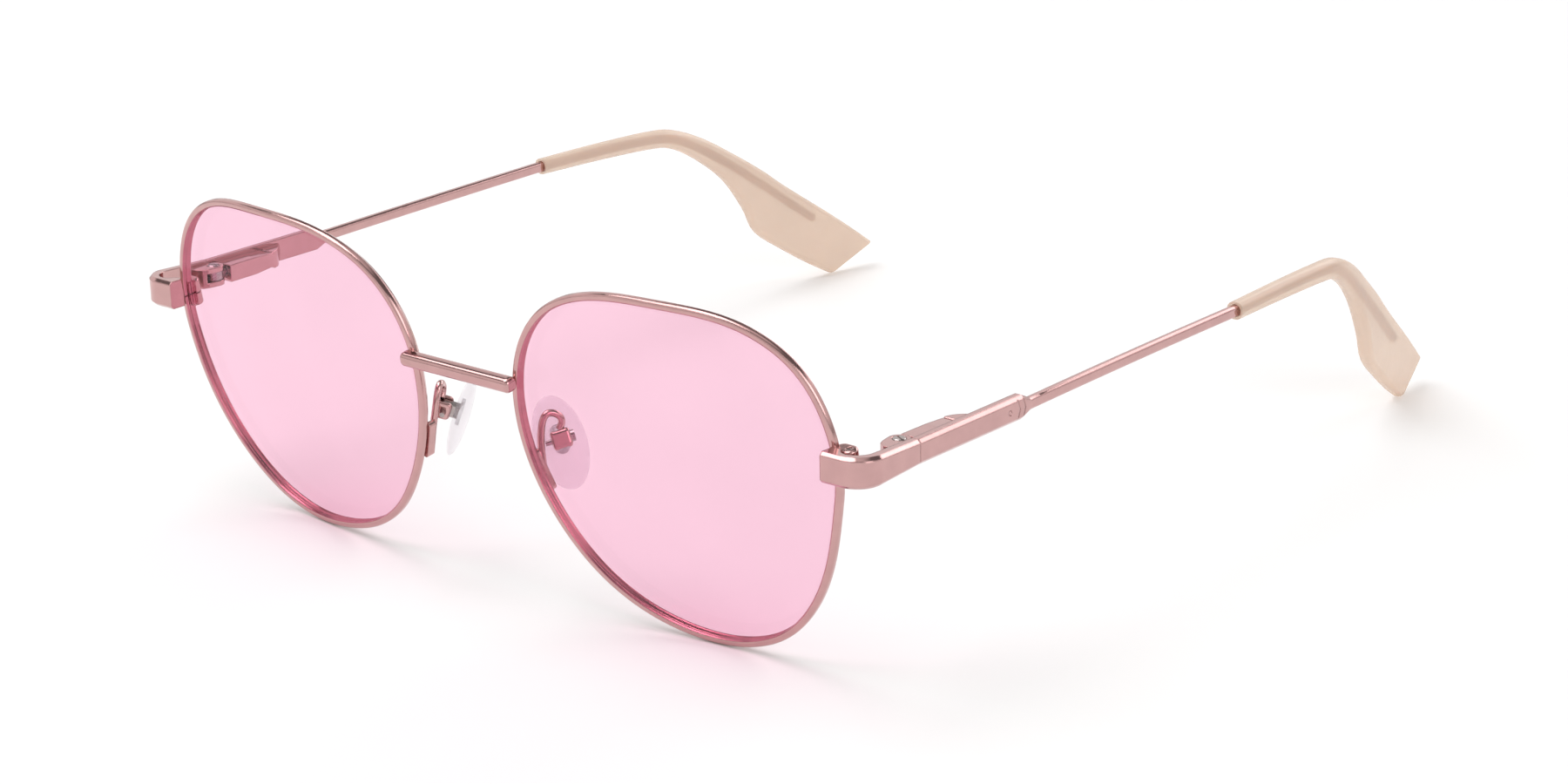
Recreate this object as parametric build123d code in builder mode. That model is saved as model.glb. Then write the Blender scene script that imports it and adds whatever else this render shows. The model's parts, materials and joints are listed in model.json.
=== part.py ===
"""Metal full-rim sunglasses with spring hinges, adjustable nose pads and plastic temple tips.

Millimetres. +X is the wearer's left, the lenses face -Y, +Z is up. The frame stands open on a table:
z = 0 is the table, x = 0 the mirror plane and y = 0 the middle of the depth. Everything is modelled
on the wearer's left and mirrored. Depths are given from the front datum, the front of the lenses.
"""
from build123d import *
import os
from math import cos, radians, sin, sqrt

os.makedirs("parts", exist_ok=True)

# ---------------------------------------------------------------- driving dimensions
mid_depth = 80.6        # front datum back to y = 0
eye_x = 36.0            # mirror plane to the centre of an eye
eye_z = 24.92           # table to the centre of an eye
tilt = 10.15            # lean of the front, top forward
wrap = 4.1              # turn of each eye about the vertical
lens_radius = 80.0      # front surface of the lenses, a sphere
lens_front = 0.2        # lens face behind the front of the rim
lens_thickness = 1.9
rim_front = 0.85        # front datum back to the rim, on the eye's own axis
rim_width = 1.05        # across the rim, seen from the front
rim_depth = 1.55        # front to back
groove_depth = 0.37     # V groove that holds the edge of the lens
groove_place = 0.82     # front of the rim to the middle of the groove
lens_gap = 0.05
bevel_reach = 0.21      # how far the bevel of the lens stands into the rim
bevel_half = 0.12
rim_split = 0.16        # cut in the rim that the lock closes
lock_x = 62.5           # the lock's screw, in the upright front
lock_y = 9.35
lock_z = 5.0
lock_half_height = 1.95
lock_radius = 1.15
lock_bore = 0.42
lock_screw_radius = 0.4

bridge_end = 10.3       # mirror plane to each end of the bridge
bridge_height = 2.1
bridge_depth = 2.2

side_face = 68.0        # outer face of the end piece and of the temple bar
end_wall = 1.5          # wall of the end piece
end_front = 3.7         # its front face, from the front datum
end_start = 61.2        # where it begins on the rim
joint_depth = 15.6      # end piece and temple bar meet here
joint_gap = 0.06
bar_middle = 31.85      # height of the middle of the temple bar
bar_height = 3.4
end_height = 4.3

hinge_x = 64.8          # axis of the hinge screw
hinge_depth = 15.2
hinge_middle = 31.8
ear_radius = 1.5
ear_reach = 1.45        # half the height of the hinge
slot_half = 0.70        # half of the slot between the ears
tongue_half = 0.63
tongue_radius = 1.35
screw_radius = 0.5
screw_clearance = 0.05

bar_thickness = 1.4
bar_length = 21.9
bar_bevel = 0.5
case_front = 17.35      # front of the spring case
case_length = 12.6
chamber_radius = 0.85
chamber_length = 7.6
bush_length = 1.1
shank_radius = 0.5      # tongue to rod, through the bush
rod_radius = 0.36
stop_radius = 0.75
spring_radius = 0.59    # middle of the spring wire
spring_wire = 0.22
spring_turns = 9

wire_height = 1.65      # temple wire between the bar and the tip
wire_width = 1.25
core_radius = 0.72      # round end of the wire inside the tip

pad_centre = Vector(9.5, 11.2, 22.1)
pad_up = Vector(-0.40, 0.03, 0.915).normalized()       # along the pad, towards the brow
pad_face = Vector(-0.707, 0.627, -0.328).normalized()  # out of the face that meets the nose
pad_length = 13.2
pad_width = 7.2
pad_thickness = 2.3
box_offset = 2.7        # pad centre to the pad screw, away from the nose
box_rise = 0.5          # and along the pad
arm_radius = 0.5

# ---------------------------------------------------------------- frames of reference
front = Location((0, -mid_depth, eye_z), (tilt, 0, 0))
across = Vector(cos(radians(wrap)), sin(radians(wrap)), 0)
ahead = Vector(sin(radians(wrap)), -cos(radians(wrap)), 0)


def on_front(plane):
    """A plane given in the upright front, leaned with it."""
    return Plane(front * plane.location)


def eye_plane(depth=0.0):
    """Square to the left eye's own axis, `depth` behind the front of its rim there."""
    origin = Vector(eye_x, 0, 0) - ahead * (rim_front + depth)
    return on_front(Plane(origin=origin, x_dir=across, z_dir=ahead))


# Centre of the lens sphere, with its seam and poles away from the lens.
ball_plane = on_front(
    Plane(
        origin=Vector(eye_x, 0, 0) - ahead * (rim_front + lens_radius), x_dir=-ahead, z_dir=(0, 0, 1)
    )
)


def at(x, depth, z):
    """A point by its depth behind the front datum."""
    return Vector(x, depth - mid_depth, z)


def plan(z):
    """Top view at height z: sketch x is x, sketch y is the depth."""
    return Plane(origin=at(0, 0, z), x_dir=(1, 0, 0), z_dir=(0, 0, 1))


def section(depth):
    """Looking forward at a depth: sketch x is x, sketch y is z, and it extrudes backwards."""
    return Plane(origin=at(0, depth, 0), x_dir=(-1, 0, 0), z_dir=(0, 1, 0))


def sag(x, y):
    """How far the lens sphere falls back from its vertex."""
    return lens_radius - sqrt(lens_radius**2 - x * x - y * y)


# ---------------------------------------------------------------- outline of an eye
# Rounded, with a soft upper outer corner and a straighter nasal side; x is towards the temple.
eye_points = [
    (26.2, 0), (25.7, 10.4), (21.5, 18.1), (13.3, 23.0), (2.1, 24.3), (-9.5, 23.6),
    (-19.4, 19.4), (-24.8, 12.7), (-26.8, 3.8), (-25.6, -4.5), (-21.9, -12.7), (-17.0, -18.9),
    (-10.4, -23.4), (-3.6, -25.6), (4.6, -26.2), (12.6, -23.8), (19.4, -17.5), (23.8, -9.1),
]
with BuildLine() as eye_line:
    Spline(*eye_points, periodic=True)


def inset_outline(inset, count=40):
    """Points of the eye outline moved inwards, for another closed spline."""
    outline = eye_line.edges()[0]
    points = []
    for i in range(count):
        place = outline.position_at(i / count)
        along = outline.tangent_at(i / count)
        points.append((place.X - along.Y * inset, place.Y + along.X * inset))
    return points


# ---------------------------------------------------------------- rim
with BuildPart() as rim_left:
    with BuildLine(eye_plane()) as rim_line:
        Spline(*[(x, y, -sag(x, y)) for x, y in inset_outline(0)], periodic=True)
    rim_path = rim_line.line.edges()[0]
    eye_axis = eye_plane().z_dir
    start_way = rim_path.tangent_at(0)
    start_way = start_way - eye_axis * start_way.dot(eye_axis)
    rim_section = Plane(rim_path.position_at(0), x_dir=eye_axis.cross(start_way), z_dir=start_way)
    with BuildSketch(rim_section):
        with BuildLine():
            Polyline(
                (0.6, -rim_depth), (0, -0.9), (0, -0.4), (0.08, -0.2), (0.22, -0.07), (0.42, 0),
                (rim_width - 0.3, 0), (rim_width - 0.08, -0.1), (rim_width, -0.3),
                (rim_width, -groove_place + groove_depth),
                (rim_width - groove_depth, -groove_place),
                (rim_width, -groove_place - groove_depth),
                (rim_width, -rim_depth + 0.1), (rim_width - 0.1, -rim_depth),
                close=True,
            )
        make_face()
    sweep(path=rim_path, binormal=rim_path.moved(Location(eye_axis * 5)))
    with Locations(on_front(Plane(origin=(lock_x - 1, lock_y - 1.85, lock_z), z_dir=(0, 0, 1)))):
        Box(5, 7, rim_split, mode=Mode.SUBTRACT)

# ---------------------------------------------------------------- lens
with BuildPart() as bevel_tool:
    with BuildSketch(eye_plane(12)):
        with BuildLine():
            Spline(*inset_outline(rim_width - bevel_reach), periodic=True)
        make_face()
    extrude(amount=14)
    with Locations(ball_plane):
        Sphere(lens_radius - groove_place + bevel_half, mode=Mode.INTERSECT)
        Sphere(lens_radius - groove_place - bevel_half, mode=Mode.SUBTRACT)

with BuildPart() as lens_left:
    with BuildSketch(eye_plane(12)):
        with BuildLine():
            Spline(*inset_outline(rim_width + lens_gap), periodic=True)
        make_face()
    extrude(amount=14)
    with Locations(ball_plane):
        Sphere(lens_radius - lens_front, mode=Mode.INTERSECT)
        Sphere(lens_radius - lens_front - lens_thickness, mode=Mode.SUBTRACT)
    add(bevel_tool.part)

# ---------------------------------------------------------------- bridge
with BuildPart() as bridge:
    with BuildSketch(on_front(Plane(origin=(-bridge_end, 3.0, 7.65), x_dir=(0, -1, 0), z_dir=(1, 0, 0)))):
        RectangleRounded(bridge_depth, bridge_height, 0.85)
    extrude(amount=2 * bridge_end)
    fillet(bridge.faces().filter_by(Axis.X).edges(), 0.7)
    add(rim_left.part, mode=Mode.SUBTRACT)
    mirror(rim_left.part, about=Plane.YZ, mode=Mode.SUBTRACT)

# ---------------------------------------------------------------- rim lock
# Two halves brazed behind the rim, above and below its split, drawn together by one screw.
def lock_plane(rise):
    """Across the lock's screw, `rise` above the split."""
    return on_front(Plane(origin=(lock_x, lock_y, lock_z + rise), x_dir=(1, 0, 0), z_dir=(0, 0, 1)))


with BuildPart() as rim_lock_upper_left:
    with BuildSketch(lock_plane(rim_split / 2)):
        with Locations((-0.5, 0)):
            SlotOverall(3.3, 2 * lock_radius)
    extrude(amount=lock_half_height)
    fillet(rim_lock_upper_left.faces().sort_by(Axis.Z)[-1].edges(), 0.4)
    with Locations(lock_plane(0)):
        Cylinder(lock_bore, 8, mode=Mode.SUBTRACT)
    add(rim_left.part, mode=Mode.SUBTRACT)
    add(lens_left.part, mode=Mode.SUBTRACT)

with BuildPart() as rim_lock_lower_left:
    with BuildSketch(lock_plane(-rim_split / 2)):
        with Locations((-0.5, 0)):
            SlotOverall(3.3, 2 * lock_radius)
    extrude(amount=-lock_half_height)
    fillet(rim_lock_lower_left.faces().sort_by(Axis.Z)[0].edges(), 0.4)
    with Locations(lock_plane(0)):
        Cylinder(lock_bore, 8, mode=Mode.SUBTRACT)
    add(rim_left.part, mode=Mode.SUBTRACT)
    add(lens_left.part, mode=Mode.SUBTRACT)

with BuildPart() as rim_lock_screw_left:
    with Locations(lock_plane(lock_half_height + rim_split / 2 - 0.12)):
        Cylinder(lock_screw_radius, 3.5, align=(Align.CENTER, Align.CENTER, Align.MAX))
        Box(1.2, 0.16, 0.5, mode=Mode.SUBTRACT)

# ---------------------------------------------------------------- end piece
end_back = joint_depth - joint_gap / 2
end_round = 3.9
with BuildPart() as end_piece_left:
    with BuildSketch(plan(bar_middle - end_height / 2)):
        with BuildLine():
            Polyline(
                (end_start, end_front + 2.6), (end_start, end_front),
                (side_face + 0.2 - end_round, end_front),
            )
            TangentArc(
                (side_face + 0.2 - end_round, end_front), (side_face + 0.2, end_front + end_round),
                tangent=(1, 0),
            )
            Polyline(
                (side_face + 0.2, end_front + end_round), (side_face - 0.1, end_back),
                (side_face - end_wall, end_back), (side_face - end_wall + 0.1, end_front + end_round),
            )
            TangentArc(
                (side_face - end_wall + 0.1, end_front + end_round),
                (side_face + 0.2 - end_round, end_front + 1.25),
                tangent=(0, -1),
            )
            Polyline(
                (side_face + 0.2 - end_round, end_front + 1.25), (63.4, end_front + 1.5),
                (62.4, end_front + 2.6), (end_start, end_front + 2.6),
            )
        make_face()
    extrude(amount=end_height)
    # The plate gets a little lower from the rim to the joint.
    with BuildSketch(Plane(origin=at(0, 0, 0), x_dir=(0, 1, 0), z_dir=(1, 0, 0))):
        Polygon(
            (0, bar_middle - end_height / 2), (6, bar_middle - end_height / 2 + 0.1),
            (end_back, bar_middle - bar_height / 2), (20, bar_middle - bar_height / 2 + 0.05),
            (20, bar_middle + bar_height / 2 - 0.05), (end_back, bar_middle + bar_height / 2),
            (6, bar_middle + end_height / 2 - 0.1), (0, bar_middle + end_height / 2),
            align=None,
        )
    extrude(amount=80, mode=Mode.INTERSECT)
    outer_edges = [
        edge
        for edge in end_piece_left.edges()
        if abs(edge.center().Z - bar_middle) > 1.2
        and (edge.center().X > side_face - 0.9 or edge.center().Y < end_front - mid_depth + 0.5)
        and edge.length > 1.5
    ]
    chamfer(outer_edges, 0.45)
    add(rim_left.part, mode=Mode.SUBTRACT)
    add(rim_lock_upper_left.part, mode=Mode.SUBTRACT)
    add(rim_lock_lower_left.part, mode=Mode.SUBTRACT)

# ---------------------------------------------------------------- hinge
# A fork on the end piece holds the screw; the tongue between its ears slides in the spring case.
hinge_low = hinge_middle - ear_reach
with BuildPart() as hinge_fork_left:
    with BuildSketch(plan(hinge_low)):
        with Locations((hinge_x, hinge_depth)):
            Circle(ear_radius)
        with BuildLine():
            Polyline(
                (side_face - end_wall, 11.7), (64.9, 11.8), (63.95, 12.4), (63.6, 13.3),
                (hinge_x - ear_radius, hinge_depth - 0.2), (hinge_x, hinge_depth),
                (hinge_x, hinge_depth + 0.9), (hinge_x + 1.2, hinge_depth + 0.35),
                (side_face - end_wall, hinge_depth + 0.35), (side_face - end_wall, 11.7),
            )
        make_face()
    extrude(amount=2 * ear_reach)
    with Locations(at(hinge_x, 15.6, hinge_middle)):
        Box(6, 5.2, 2 * slot_half, mode=Mode.SUBTRACT)
    with Locations(at(hinge_x, hinge_depth, hinge_middle)):
        Cylinder(screw_radius + screw_clearance, 8, mode=Mode.SUBTRACT)
    with Locations(at(hinge_x, hinge_depth, hinge_middle + ear_reach)):
        Cylinder(0.95, 0.7, mode=Mode.SUBTRACT)
    add(end_piece_left.part, mode=Mode.SUBTRACT)

with BuildPart() as hinge_screw_left:
    with BuildSketch(plan(hinge_low - 0.05)):
        with Locations((hinge_x, hinge_depth)):
            Circle(screw_radius)
    extrude(amount=2 * ear_reach + 0.1)
    with BuildSketch(plan(hinge_middle + ear_reach - 0.3)):
        with Locations((hinge_x, hinge_depth)):
            Circle(0.88)
    extrude(amount=0.42)
    chamfer(hinge_screw_left.faces().sort_by(Axis.Z)[-1].edges(), 0.12)
    with Locations(at(hinge_x, hinge_depth, hinge_middle + ear_reach + 0.12)):
        Box(0.26, 2, 0.4, rotation=(0, 0, 60), mode=Mode.SUBTRACT)

rod_start = hinge_depth + 1.9
rod_end = case_front + chamber_length - 0.8
with BuildPart() as hinge_slider_left:
    with BuildSketch(plan(hinge_middle - tongue_half)):
        with Locations((hinge_x, hinge_depth)):
            Circle(tongue_radius)
    extrude(amount=2 * tongue_half)
    with BuildSketch(section(hinge_depth + 1)):
        with Locations((-hinge_x, hinge_middle)):
            Circle(shank_radius)
    extrude(amount=2.2)
    with Locations(at(hinge_x, hinge_depth, hinge_middle)):
        Cylinder(screw_radius + screw_clearance, 4, mode=Mode.SUBTRACT)
    with BuildSketch(section(rod_start)):
        with Locations((-hinge_x, hinge_middle)):
            Circle(rod_radius)
    extrude(amount=rod_end - rod_start)

with BuildPart() as spring_stop_left:
    with BuildSketch(section(rod_end - 0.9)):
        with Locations((-hinge_x, hinge_middle)):
            Circle(stop_radius)
            Circle(rod_radius, mode=Mode.SUBTRACT)
    extrude(amount=0.9)

spring_front = case_front + bush_length + 0.85
spring_length = rod_end - 0.9 - spring_wire / 2 - spring_front
with BuildPart() as hinge_spring_left:
    with BuildLine() as coil:
        Helix(
            pitch=spring_length / spring_turns, height=spring_length - spring_wire / 2,
            radius=spring_radius, center=at(hinge_x, spring_front, hinge_middle), direction=(0, 1, 0),
        )
    coil_path = coil.line.edges()[0]
    with BuildSketch(Plane(coil_path.position_at(0), z_dir=coil_path.tangent_at(0))):
        Circle(spring_wire / 2)
    sweep(path=coil_path, is_frenet=True)

with BuildPart() as spring_bush_left:
    with BuildSketch(section(case_front)):
        with Locations((-hinge_x, hinge_middle)):
            Circle(chamber_radius)
            Circle(shank_radius + 0.06, mode=Mode.SUBTRACT)
    extrude(amount=bush_length)

bar_inner = side_face - 0.1 - bar_thickness
case_drop = 1.45
case_rise = 1.15
case_back = case_front + case_length
with BuildPart() as spring_case_left:
    # A block in front that thins to a scooped tongue on the inside of the temple.
    low = hinge_middle - case_drop
    high = hinge_middle + case_rise
    with BuildSketch(plan(low)):
        with BuildLine():
            Polyline(
                (bar_inner, case_front), (hinge_x - 1.4, case_front), (hinge_x - 1.25, case_front + 7.5),
            )
            Spline(
                (hinge_x - 1.25, case_front + 7.5), (hinge_x - 0.5, case_front + 10.2),
                (bar_inner, case_back),
                tangents=((0.02, 1), (0.55, 1)),
            )
            Line((bar_inner, case_back), (bar_inner, case_front))
        make_face()
    extrude(amount=case_drop + case_rise)
    with BuildSketch(Plane(origin=at(0, 0, 0), x_dir=(0, 1, 0), z_dir=(1, 0, 0))):
        with BuildLine():
            Polyline(
                (case_back - 4, low + 0.35), (case_front + 5, low), (case_front, low),
                (case_front, high), (case_front + 5, high), (case_back - 4, high - 0.15),
            )
            ThreePointArc(
                (case_back - 4, high - 0.15), (case_back, hinge_middle + 0.15),
                (case_back - 4, low + 0.35),
            )
        make_face()
    extrude(amount=80, mode=Mode.INTERSECT)
    with BuildSketch(section(case_front)):
        with Locations((-hinge_x, hinge_middle)):
            Circle(chamber_radius)
    extrude(amount=chamber_length, mode=Mode.SUBTRACT)

# ---------------------------------------------------------------- temple
bar_start = joint_depth + joint_gap / 2
bar_end = bar_start + bar_length
bar_outer = side_face - 0.1
wire_middle = bar_middle - 0.1
wire_outer = bar_outer - 0.15
wire_inner = wire_outer - wire_width
wire_centre = (wire_outer + wire_inner) / 2


def bar_section(height, outer, inner, bevel, middle):
    """Section of the temple bar, bevelled along its outer edges."""
    return [
        (-outer, middle - height / 2 + bevel), (-outer, middle + height / 2 - bevel),
        (-outer + bevel, middle + height / 2), (-inner, middle + height / 2),
        (-inner, middle - height / 2), (-outer + bevel, middle - height / 2),
    ]


tip_start = 88.6
temple_path = [
    at(wire_centre, bar_end + 1.8, wire_middle), at(67.25, 64, 32.05), at(67.5, tip_start + 1, 32.2),
    at(66.85, 101, 32.05), at(66.1, 113, 31.65), at(65.45, 118.5, 30.9), at(64.4, 124.5, 28.2),
    at(62.8, 131.2, 23.9), at(61.0, 139.5, 17.9), at(59.0, 148.5, 11.2),
]
with BuildPart() as temple_left:
    with BuildSketch(section(bar_start)):
        with BuildLine():
            Polyline(*bar_section(bar_height, bar_outer, bar_inner, bar_bevel, bar_middle), close=True)
        make_face()
    extrude(amount=bar_length)
    # The bar runs out to a blunt point, from which the wire goes on.
    with BuildSketch(section(bar_end)):
        with BuildLine():
            Polyline(*bar_section(bar_height, bar_outer, bar_inner, bar_bevel, bar_middle), close=True)
        make_face()
    with BuildSketch(section(bar_end + 2.0)):
        with BuildLine():
            Polyline(*bar_section(wire_height, wire_outer, wire_inner, 0.3, wire_middle), close=True)
        make_face()
    loft(ruled=True)
    # Two chevrons and a small round mark are pressed into the outer face near its end.
    with BuildSketch(Plane(origin=at(bar_outer, bar_end, bar_middle), x_dir=(0, 1, 0), z_dir=(1, 0, 0))):
        for back in (0.0, 1.2):
            with Locations((back - 1.5, 0)):
                Polygon(
                    (0, 1.7), (0.22, 1.7), (0.92, 0), (0.22, -1.7), (0, -1.7), (0.7, 0), align=None
                )
        with Locations((-2.9, 0)):
            Circle(0.42)
            Circle(0.24, mode=Mode.SUBTRACT)
    extrude(amount=-0.12, mode=Mode.SUBTRACT)
    with BuildLine() as wire_line:
        Spline(*temple_path[:3])
    with BuildSketch(Plane(wire_line.line @ 0, x_dir=(1, 0, 0), z_dir=wire_line.line % 0)):
        RectangleRounded(wire_width, wire_height, 0.42)
    sweep(path=wire_line.line.edges()[0])
    with BuildLine() as core_line:
        Spline(*temple_path[2:])
    with BuildSketch(Plane(core_line.line @ 0, z_dir=core_line.line % 0)):
        Circle(core_radius)
    sweep(path=core_line.line.edges()[0])

# ---------------------------------------------------------------- temple tip
# x, depth, z, fall and turn of the path in degrees, height and thickness of the tip there
tip_stations = [
    (67.5, tip_start, 32.2, 0, 1, 2.6, 2.6),
    (66.85, 101, 32.05, 2, 3.5, 2.8, 2.7),
    (66.1, 113, 31.65, 6, 5, 3.0, 2.8),
    (65.45, 118.5, 30.9, 18, 8, 3.2, 2.9),
    (64.4, 124.3, 28.2, 32, 11, 3.8, 2.8),
    (62.8, 130.5, 23.7, 34.7, 12.2, 4.9, 2.7),
    (61.7, 135.5, 18.7, 35, 12.2, 7.6, 2.5),
    (61.0, 138.7, 14.8, 36, 12.2, 9.9, 2.4),
    (59.5, 145.4, 10.0, 40, 12.2, 10.0, 2.2),
    (57.17, 156.33, 2.54, 66, 12.2, 10.3, 2.0),
]
tip_steps = 4           # sections from one station to the next


def smooth(before, start, end, after, t):
    """Catmull-Rom value between start and end."""
    a = (3 * start - 3 * end + after - before) / 2
    b = before - 5 * start / 2 + 2 * end - after / 2
    c = (end - before) / 2
    return ((a * t + b) * t + c) * t + start


def tip_sections():
    """Stations filled in with smooth steps."""
    rows = [tip_stations[0], *tip_stations, tip_stations[-1]]
    for i in range(1, len(rows) - 2):
        for step in range(tip_steps):
            t = step / tip_steps
            yield [smooth(*(rows[k][n] for k in range(i - 1, i + 3)), t) for n in range(7)]
    yield tip_stations[-1]


def tip_plane(x, depth, z, fall, turn):
    fall, turn = radians(fall), radians(turn)
    return Plane(
        origin=at(x, depth, z), x_dir=(cos(turn), sin(turn), 0),
        z_dir=(-sin(turn) * cos(fall), cos(turn) * cos(fall), -sin(fall)),
    )


with BuildPart() as temple_tip_left:
    for *place, height, thickness in tip_sections():
        with BuildSketch(tip_plane(*place)):
            RectangleRounded(thickness, height, 0.44 * thickness)
    loft(ruled=True)
    with BuildLine() as bore_line:
        Spline(*temple_path[2:])
    with BuildSketch(Plane(bore_line.line @ 0, z_dir=bore_line.line % 0)):
        Circle(core_radius + 0.03)
    sweep(path=bore_line.line.edges()[0], mode=Mode.SUBTRACT)
    with BuildSketch(section(tip_start - 0.5)):
        with Locations((-67.5, 32.2)):
            Circle(0.95)
    extrude(amount=2.0, mode=Mode.SUBTRACT)

# ---------------------------------------------------------------- nose pad
pad_across = pad_face.cross(pad_up)
screw_place = pad_centre - pad_face * box_offset + pad_up * box_rise


def pad_plane(out, origin=pad_centre):
    """Parallel to the pad, `out` from its middle towards the nose: sketch y runs up the pad."""
    return Plane(origin=at(*(origin + pad_face * out)), x_dir=pad_up.cross(pad_face), z_dir=pad_face)


def screw_plane(along=0.0):
    """Square to the pad screw: sketch x is the face direction of the pad, sketch y runs up it."""
    return Plane(origin=at(*(screw_place + pad_across * along)), x_dir=pad_face, z_dir=pad_across)


with BuildPart() as pad_insert_left:
    with BuildSketch(pad_plane(-0.55)):
        with Locations((0, box_rise)):
            SlotOverall(4.2, 2.2, rotation=90)
    extrude(amount=0.5)
    # The eye reaches back to the screw.
    with BuildSketch(screw_plane(-0.6)):
        Circle(0.95)
        with Locations((1.1, 0)):
            Rectangle(2.2, 1.9)
        Circle(0.45, mode=Mode.SUBTRACT)
    extrude(amount=1.2)

with BuildPart() as pad_blank:
    Sphere(1)
    scale(by=(pad_width / 2, pad_length / 2, pad_thickness / 2))

with BuildPart() as nose_pad_left:
    with Locations(pad_plane(0)):
        add(pad_blank.part)
    add(pad_insert_left.part, mode=Mode.SUBTRACT)

box_half = 1.35
with BuildPart() as pad_box_left:
    with BuildSketch(screw_plane(-box_half)):
        with Locations((-0.15, 0)):
            RectangleRounded(2.5, 2 * box_half, 0.6)
    extrude(amount=2 * box_half)
    box_ends = pad_box_left.faces().sort_by(Axis(screw_plane().origin, pad_across))
    fillet(box_ends[0].edges() + box_ends[-1].edges(), 0.45)
    with BuildSketch(screw_plane(-0.72)):
        with Locations((0.6, 0)):
            Rectangle(3.4, 4.0)
    extrude(amount=1.44, mode=Mode.SUBTRACT)
    with BuildSketch(screw_plane(-2)):
        Circle(0.4)
    extrude(amount=4, mode=Mode.SUBTRACT)

with BuildPart() as pad_screw_left:
    with BuildSketch(screw_plane(-2.2)):
        Circle(0.38)
    extrude(amount=3.6)
    with BuildSketch(screw_plane(1.35)):
        Circle(0.8)
    extrude(amount=0.55)
    with BuildSketch(screw_plane(1.9)):
        Rectangle(1.0, 0.2)
        Rectangle(0.2, 1.0)
    extrude(amount=-0.25, mode=Mode.SUBTRACT)

with BuildPart() as pad_arm_left:
    box_top = screw_place + pad_up * 1.3 - pad_face * 0.7
    with BuildLine() as arm_line:
        Spline(
            at(10.85, 6.25, 19.3), at(10.3, 6.6, 22.3), at(10.0, 7.0, 25.2), at(10.3, 8.1, 27.3),
            at(11.0, 9.3, 26.9), at(*box_top),
        )
    with BuildSketch(Plane(arm_line.line @ 0, z_dir=arm_line.line % 0)):
        Circle(arm_radius)
    sweep(path=arm_line.line.edges()[0])
    # The foot is a blade brazed along the back of the rim.
    with BuildSketch(eye_plane(7.5 - rim_front)):
        with Locations((-23.9, -8.4), (-25.6, -3.8)):
            Circle(0.6)
        make_hull()
    extrude(amount=1.2)
    add(rim_left.part, mode=Mode.SUBTRACT)
    add(pad_box_left.part, mode=Mode.SUBTRACT)
    add(lens_left.part, mode=Mode.SUBTRACT)

# ---------------------------------------------------------------- the other side, and the files
left_parts = {
    "rim": rim_left, "lens": lens_left, "rim_lock_upper": rim_lock_upper_left,
    "rim_lock_lower": rim_lock_lower_left, "rim_lock_screw": rim_lock_screw_left,
    "end_piece": end_piece_left, "hinge_fork": hinge_fork_left, "hinge_screw": hinge_screw_left,
    "hinge_slider": hinge_slider_left, "spring_stop": spring_stop_left,
    "hinge_spring": hinge_spring_left, "spring_bush": spring_bush_left,
    "spring_case": spring_case_left, "temple": temple_left, "temple_tip": temple_tip_left,
    "nose_pad": nose_pad_left, "pad_insert": pad_insert_left, "pad_box": pad_box_left,
    "pad_screw": pad_screw_left, "pad_arm": pad_arm_left,
}
bridge.part.label = "bridge"
export_step(bridge.part, "parts/bridge.step")
for name, left in left_parts.items():
    with BuildPart() as right:
        mirror(left.part, about=Plane.YZ)
    left.part.label = name + "_left"
    right.part.label = name + "_right"
    export_step(left.part, f"parts/{name}_left.step")
    export_step(right.part, f"parts/{name}_right.step")
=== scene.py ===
import json
from math import cos, radians, sin

import bpy
from mathutils import Matrix, Vector


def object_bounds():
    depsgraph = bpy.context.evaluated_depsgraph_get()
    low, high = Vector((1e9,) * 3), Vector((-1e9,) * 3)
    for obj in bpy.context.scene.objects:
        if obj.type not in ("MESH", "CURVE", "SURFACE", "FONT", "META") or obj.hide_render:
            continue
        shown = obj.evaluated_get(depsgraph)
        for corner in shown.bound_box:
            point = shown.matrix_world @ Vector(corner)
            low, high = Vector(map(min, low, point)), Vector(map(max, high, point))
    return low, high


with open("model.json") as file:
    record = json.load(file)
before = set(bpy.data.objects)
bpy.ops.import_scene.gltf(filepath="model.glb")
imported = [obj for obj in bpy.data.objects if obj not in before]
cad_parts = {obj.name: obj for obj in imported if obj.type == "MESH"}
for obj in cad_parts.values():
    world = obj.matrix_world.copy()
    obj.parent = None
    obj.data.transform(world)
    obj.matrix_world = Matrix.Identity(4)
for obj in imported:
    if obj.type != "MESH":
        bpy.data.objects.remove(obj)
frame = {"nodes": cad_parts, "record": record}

cad_low, cad_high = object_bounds()
nodes = frame["nodes"]

# ------------------------------------------------------------------ sizes, in metres
CAMERA_PLACE = Vector((0.31574, -0.38532, 0.17644))
CAMERA_AZIMUTH = radians(40.14)
CAMERA_ELEVATION = radians(18.60)
CAMERA_ROLL = radians(-1.10)
CAMERA_LENS = 78.58

FLOOR_REACH = 6.0
SHARP_ANGLE = radians(32)
EDGE_ROUND = 0.0003

# ------------------------------------------------------------------ colours, linear
ROSE_GOLD = (0.60, 0.365, 0.355)
LENS_PINK = (0.975, 0.785, 0.865)
LENS_GLOSS = 0.035
CREAM = (0.78, 0.62, 0.52)
STEEL = (0.5, 0.44, 0.43)
TIP_CLEARNESS = 0.42
PAD_CLEARNESS = 0.78


# Brightness of the studio by the sine of the elevation: table line, white walls, dark band, ceiling.
SKY = [(0.0, 0.35), (0.12, 0.9), (0.5, 1.0), (0.6, 0.16), (0.86, 0.2), (0.95, 0.9)]

# Soft lights: name, place, width, height, power in watts.
LIGHTS = [
    ("key", (-0.35, -0.25, 0.9), 0.9, 0.7, 6),
    ("side", (0.9, -0.2, 0.45), 0.5, 0.6, 2),
    ("back", (0.1, 1.0, 0.6), 1.0, 0.5, 3),
]


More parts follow.
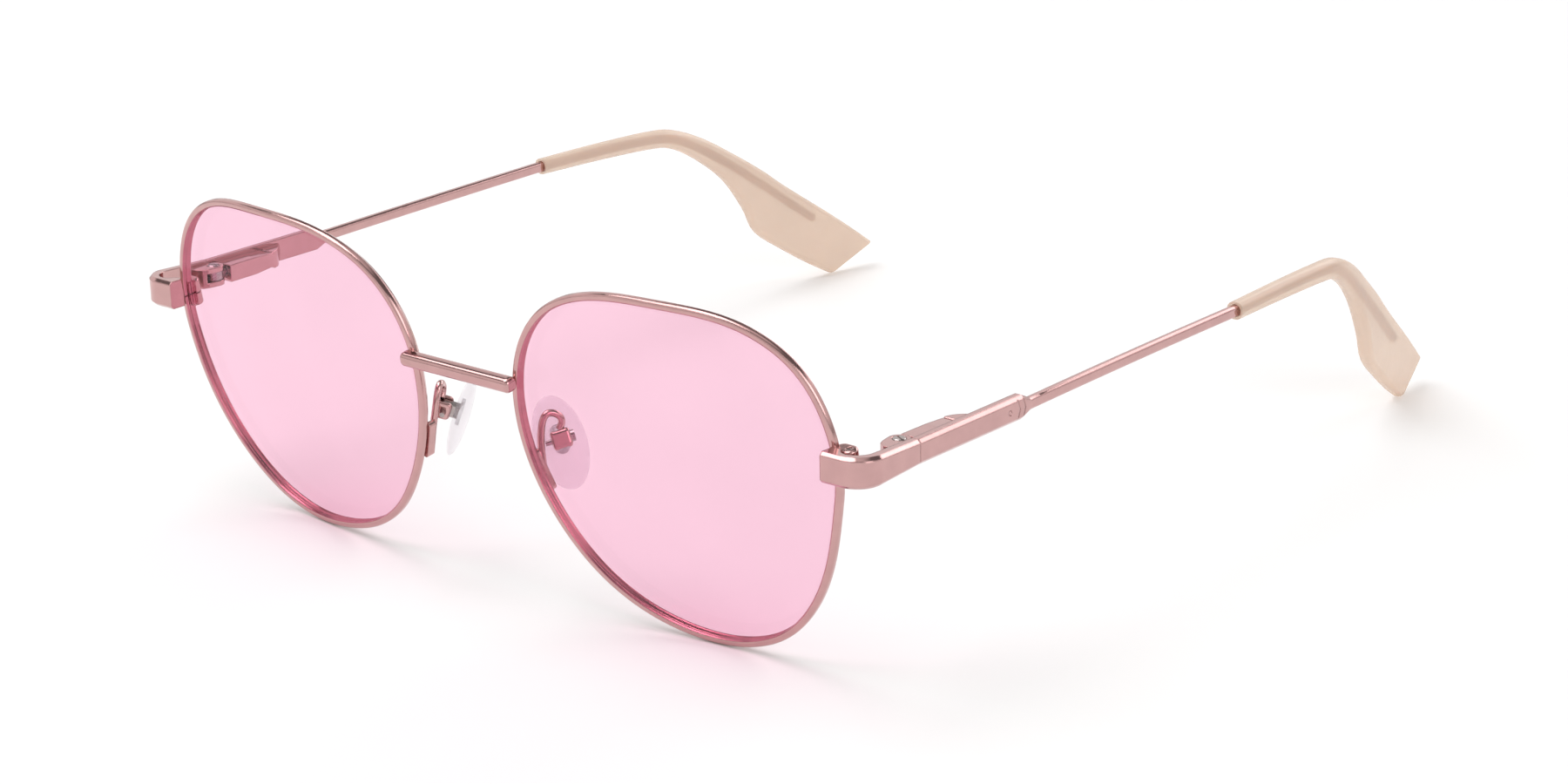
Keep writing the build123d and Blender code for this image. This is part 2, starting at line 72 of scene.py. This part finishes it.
# ------------------------------------------------------------------ node helpers
def new_material(name):
    """An empty node material and its Principled shader."""
    material = bpy.data.materials.new(name)
    material.use_nodes = True
    tree = material.node_tree
    tree.nodes.clear()
    output = tree.nodes.new("ShaderNodeOutputMaterial")
    shader = tree.nodes.new("ShaderNodeBsdfPrincipled")
    tree.links.new(shader.outputs[0], output.inputs["Surface"])
    return material, tree, shader, output


def object_place(tree):
    """Object coordinates: the row frame, in metres."""
    return tree.nodes.new("ShaderNodeTexCoord").outputs["Object"]


def noise(tree, scale, detail=3.0, stretch=(1, 1, 1)):
    """Noise over the object's own coordinates, `scale` features to the metre."""
    mapping = tree.nodes.new("ShaderNodeMapping")
    mapping.inputs["Scale"].default_value = stretch
    tree.links.new(object_place(tree), mapping.inputs["Vector"])
    node = tree.nodes.new("ShaderNodeTexNoise")
    node.inputs["Scale"].default_value = scale
    node.inputs["Detail"].default_value = detail
    tree.links.new(mapping.outputs["Vector"], node.inputs["Vector"])
    return node.outputs["Fac"]


def spread(tree, value, low, high):
    """Maps 0.3..0.7, where noise mostly lies, to low..high."""
    node = tree.nodes.new("ShaderNodeMapRange")
    node.inputs["From Min"].default_value = 0.3
    node.inputs["From Max"].default_value = 0.7
    node.inputs["To Min"].default_value = low
    node.inputs["To Max"].default_value = high
    tree.links.new(value, node.inputs["Value"])
    return node.outputs["Result"]


def tint(tree, value, colour, other):
    """A colour between two, by value."""
    node = tree.nodes.new("ShaderNodeMix")
    node.data_type = "RGBA"
    node.inputs["A"].default_value = (*colour, 1)
    node.inputs["B"].default_value = (*other, 1)
    tree.links.new(value, node.inputs["Factor"])
    return node.outputs["Result"]


def soft_edge(tree, radius):
    """Normals that turn over the edges, as polishing leaves them."""
    node = tree.nodes.new("ShaderNodeBevel")
    node.samples = 6
    node.inputs["Radius"].default_value = radius
    return node.outputs["Normal"]


def bump(tree, shader, height, distance, strength=1.0, normal=None):
    node = tree.nodes.new("ShaderNodeBump")
    node.inputs["Distance"].default_value = distance
    node.inputs["Strength"].default_value = strength
    tree.links.new(height, node.inputs["Height"])
    if normal:
        tree.links.new(normal, node.inputs["Normal"])
    tree.links.new(node.outputs["Normal"], shader.inputs["Normal"])


def see_through(tree, shader, output, colour, share):
    """Lets `share` of the light straight through the shader, tinted by a colour or a socket."""
    passing = tree.nodes.new("ShaderNodeBsdfTransparent")
    if isinstance(colour, tuple):
        passing.inputs["Color"].default_value = (*colour, 1)
    else:
        tree.links.new(colour, passing.inputs["Color"])
    mix = tree.nodes.new("ShaderNodeMixShader")
    mix.inputs["Fac"].default_value = share
    tree.links.new(shader.outputs[0], mix.inputs[1])
    tree.links.new(passing.outputs[0], mix.inputs[2])
    tree.links.new(mix.outputs[0], output.inputs["Surface"])


def darker(colour, share):
    return tuple(c * share for c in colour)


# ------------------------------------------------------------------ materials
def plated_metal():
    """Rose-gold plating, polished, with faint cloudiness and polishing marks."""
    material, tree, shader, _ = new_material("rose_gold_plating")
    shader.inputs["Metallic"].default_value = 1.0
    cloud = noise(tree, 420, 4)
    colour = tint(tree, spread(tree, cloud, 0, 1), ROSE_GOLD, darker(ROSE_GOLD, 0.92))
    tree.links.new(colour, shader.inputs["Base Color"])
    tree.links.new(spread(tree, noise(tree, 1500, 2), 0.09, 0.15), shader.inputs["Roughness"])
    bump(tree, shader, noise(tree, 2200, 3, (1, 0.12, 1)), 0.000012, 0.25, soft_edge(tree, EDGE_ROUND))
    return material


def turned_steel():
    """Screws: paler metal with turning marks."""
    material, tree, shader, _ = new_material("turned_steel")
    shader.inputs["Metallic"].default_value = 1.0
    colour = tint(tree, spread(tree, noise(tree, 3000, 3), 0, 1), STEEL, darker(STEEL, 0.75))
    tree.links.new(colour, shader.inputs["Base Color"])
    tree.links.new(spread(tree, noise(tree, 6000, 2), 0.2, 0.36), shader.inputs["Roughness"])
    bump(tree, shader, noise(tree, 12000, 2), 0.000005, 0.3)
    return material


def tinted_lens():
    """Clear pink plastic: tints what is behind it, with a polished gloss on top."""
    material, tree, shader, output = new_material("pink_lens")
    shader.inputs["Metallic"].default_value = 1.0
    shader.inputs["Base Color"].default_value = (0.9, 0.86, 0.88, 1)
    tree.links.new(spread(tree, noise(tree, 90, 2), 0.02, 0.05), shader.inputs["Roughness"])
    smear = spread(tree, noise(tree, 60, 2), 0, 1)
    colour = tint(tree, smear, LENS_PINK, darker(LENS_PINK, 0.985))
    see_through(tree, shader, output, colour, 1 - LENS_GLOSS)
    return material


def acetate():
    """Cream plastic, a little see-through, so that the wire shows inside."""
    material, tree, shader, output = new_material("cream_acetate")
    shader.inputs["Subsurface Weight"].default_value = 0.35
    shader.inputs["Subsurface Scale"].default_value = 0.001
    shader.inputs["Subsurface Radius"].default_value = (1.0, 0.8, 0.6)
    cloud = spread(tree, noise(tree, 120, 2), 0, 1)
    tree.links.new(tint(tree, cloud, CREAM, darker(CREAM, 0.95)), shader.inputs["Base Color"])
    tree.links.new(spread(tree, noise(tree, 900, 2), 0.18, 0.26), shader.inputs["Roughness"])
    bump(tree, shader, noise(tree, 700, 2), 0.000004, 0.2)
    see_through(tree, shader, output, (0.98, 0.91, 0.83), TIP_CLEARNESS)
    return material


def clear_silicone():
    """Soft clear silicone with a faint white haze."""
    material, tree, shader, output = new_material("clear_silicone")
    cloud = spread(tree, noise(tree, 500, 3), 0, 1)
    tree.links.new(tint(tree, cloud, (0.97, 0.97, 0.98), (0.9, 0.9, 0.92)), shader.inputs["Base Color"])
    tree.links.new(spread(tree, noise(tree, 3000, 2), 0.08, 0.16), shader.inputs["Roughness"])
    bump(tree, shader, noise(tree, 1500, 2), 0.00001, 0.3)
    see_through(tree, shader, output, (0.96, 0.96, 0.97), PAD_CLEARNESS)
    return material


def floor_paint():
    """Plain white paper, barely uneven."""
    material, tree, shader, _ = new_material("white_paper")
    cloud = spread(tree, noise(tree, 6, 3), 0, 1)
    tree.links.new(tint(tree, cloud, (0.92, 0.92, 0.92), (0.9, 0.9, 0.9)), shader.inputs["Base Color"])
    shader.inputs["Roughness"].default_value = 0.9
    shader.inputs["Specular IOR Level"].default_value = 0.1
    return material


MATERIALS = {
    "frame_metal": plated_metal(),
    "screw_steel": turned_steel(),
    "spring_steel": turned_steel(),
    "lens_tint": tinted_lens(),
    "tip_acetate": acetate(),
    "pad_silicone": clear_silicone(),
}


def dress_cad_nodes():
    """Every CAD node takes the material of its slot, shaded smooth up to its edges."""
    for part in frame["record"]["subparts"]:
        node = nodes[part["node"]]
        node.data.materials.clear()
        node.data.materials.append(MATERIALS[part["material_slot"]])
        for face in node.data.polygons:
            face.use_smooth = True
        node.data.set_sharp_from_angle(angle=SHARP_ANGLE)


dress_cad_nodes()


# ------------------------------------------------------------------ stage
def make_floor():
    mesh = bpy.data.meshes.new("floor")
    reach = FLOOR_REACH
    corners = [(-reach, -reach, 0), (reach, -reach, 0), (reach, reach, 0), (-reach, reach, 0)]
    mesh.from_pydata(corners, [], [(0, 1, 2, 3)])
    floor = bpy.data.objects.new("floor", mesh)
    floor.data.materials.append(floor_paint())
    bpy.context.scene.collection.objects.link(floor)


def soft_box(name, place, target, width, height, power):
    """A rectangular soft light that points at the target."""
    light = bpy.data.lights.new(name, "AREA")
    light.shape = "RECTANGLE"
    light.size = width
    light.size_y = height
    light.energy = power
    lamp = bpy.data.objects.new(name, light)
    lamp.location = place
    lamp.rotation_mode = "QUATERNION"
    lamp.rotation_quaternion = (Vector(target) - Vector(place)).to_track_quat("-Z", "Y")
    bpy.context.scene.collection.objects.link(lamp)


def make_world():
    """A studio that the metal mirrors, with a dark band above its walls; the camera sees white."""
    world = bpy.data.worlds.new("studio")
    bpy.context.scene.world = world
    world.use_nodes = True
    tree = world.node_tree
    tree.nodes.clear()
    output = tree.nodes.new("ShaderNodeOutputWorld")
    place = tree.nodes.new("ShaderNodeTexCoord")
    split = tree.nodes.new("ShaderNodeSeparateXYZ")
    tree.links.new(place.outputs["Generated"], split.inputs[0])
    ramp = tree.nodes.new("ShaderNodeValToRGB")
    while len(ramp.color_ramp.elements) < len(SKY):
        ramp.color_ramp.elements.new(0.5)
    for step, (height, grey) in zip(ramp.color_ramp.elements, SKY):
        step.position = height
        step.color = (grey, grey * 0.98, grey * 0.97, 1)
    tree.links.new(split.outputs["Z"], ramp.inputs["Fac"])
    mirrored = tree.nodes.new("ShaderNodeBackground")
    tree.links.new(ramp.outputs["Color"], mirrored.inputs["Color"])
    seen = tree.nodes.new("ShaderNodeBackground")
    seen.inputs["Color"].default_value = (1, 1, 1, 1)
    path = tree.nodes.new("ShaderNodeLightPath")
    mix = tree.nodes.new("ShaderNodeMixShader")
    tree.links.new(path.outputs["Is Camera Ray"], mix.inputs["Fac"])
    tree.links.new(mirrored.outputs[0], mix.inputs[1])
    tree.links.new(seen.outputs[0], mix.inputs[2])
    tree.links.new(mix.outputs[0], output.inputs["Surface"])


def make_camera():
    """The viewing angle: right and up are turned by the roll about the view axis."""
    a, e = CAMERA_AZIMUTH, CAMERA_ELEVATION
    back = Vector((sin(a) * cos(e), -cos(a) * cos(e), sin(e)))
    right = Vector((cos(a), sin(a), 0))
    up = back.cross(right)
    turned_right = right * cos(CAMERA_ROLL) + up * sin(CAMERA_ROLL)
    turned_up = up * cos(CAMERA_ROLL) - right * sin(CAMERA_ROLL)
    camera = bpy.data.cameras.new("camera")
    camera.lens = CAMERA_LENS
    camera.sensor_width = 36.0
    camera.clip_start = 0.01
    camera.clip_end = 20.0
    holder = bpy.data.objects.new("camera", camera)
    axes = Matrix((turned_right, turned_up, back)).transposed().to_4x4()
    holder.matrix_world = Matrix.Translation(CAMERA_PLACE) @ axes
    bpy.context.scene.collection.objects.link(holder)
    bpy.context.scene.camera = holder


make_floor()
make_world()
make_camera()
middle = (cad_low + cad_high) / 2
for name, place, width, height, power in LIGHTS:
    soft_box(name, place, middle, width, height, power)
bpy.context.scene.view_settings.view_transform = "Standard"
